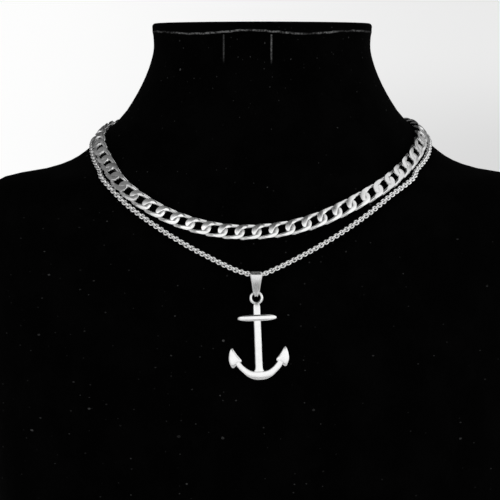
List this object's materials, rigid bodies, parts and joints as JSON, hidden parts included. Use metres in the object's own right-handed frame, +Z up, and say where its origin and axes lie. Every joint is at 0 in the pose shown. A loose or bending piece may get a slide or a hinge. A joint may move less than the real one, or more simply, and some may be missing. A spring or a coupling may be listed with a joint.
{
  "type": "anchor pendant necklace on a neck display bust",
  "caption": "Layered steel necklace, a flat curb chain above a fine chain that carries an anchor pendant on a folded bail, shown on a black velvet neck bust.",
  "frame": {"origin": "middle of the bust's base, on the surface that it stands on", "axes": "+Z up, front of the bust towards -Y, +X to the right of the front view"},
  "size_m": [0.2692, 0.1401, 0.2596],
  "materials": {
    "velvet": "black velvet with a short soft nap",
    "curb_steel": "polished steel, links ground flat",
    "fine_steel": "polished steel",
    "satin_steel": "satin brushed along the strap",
    "anchor_steel": "cast and polished steel with softened edges",
    "fittings_steel": "polished steel"
  },
  "bodies": {
    "display": {"neck_bust": "velvet", "curb_chain": "curb_steel", "fine_chain": "fine_steel", "clasp": "fittings_steel", "left_end_ring": "fittings_steel", "right_end_ring": "fittings_steel"},
    "bail": {"bail": "satin_steel"},
    "anchor": {"anchor": "anchor_steel"}
  },
  "joints": [
    {"name": "bail_swing", "type": "hinge", "parent": "display", "child": "bail", "pos_m": [-0.00298, -0.05674, 0.14671], "axis": [-1, 0, 0], "range_deg": [0, 75]},
    {"name": "anchor_swing", "type": "hinge", "parent": "bail", "child": "anchor", "pos_m": [-0.00298, -0.05878, 0.13641], "axis": [0, 0.981, -0.1942], "range_deg": [-35, 35]}
  ]
}
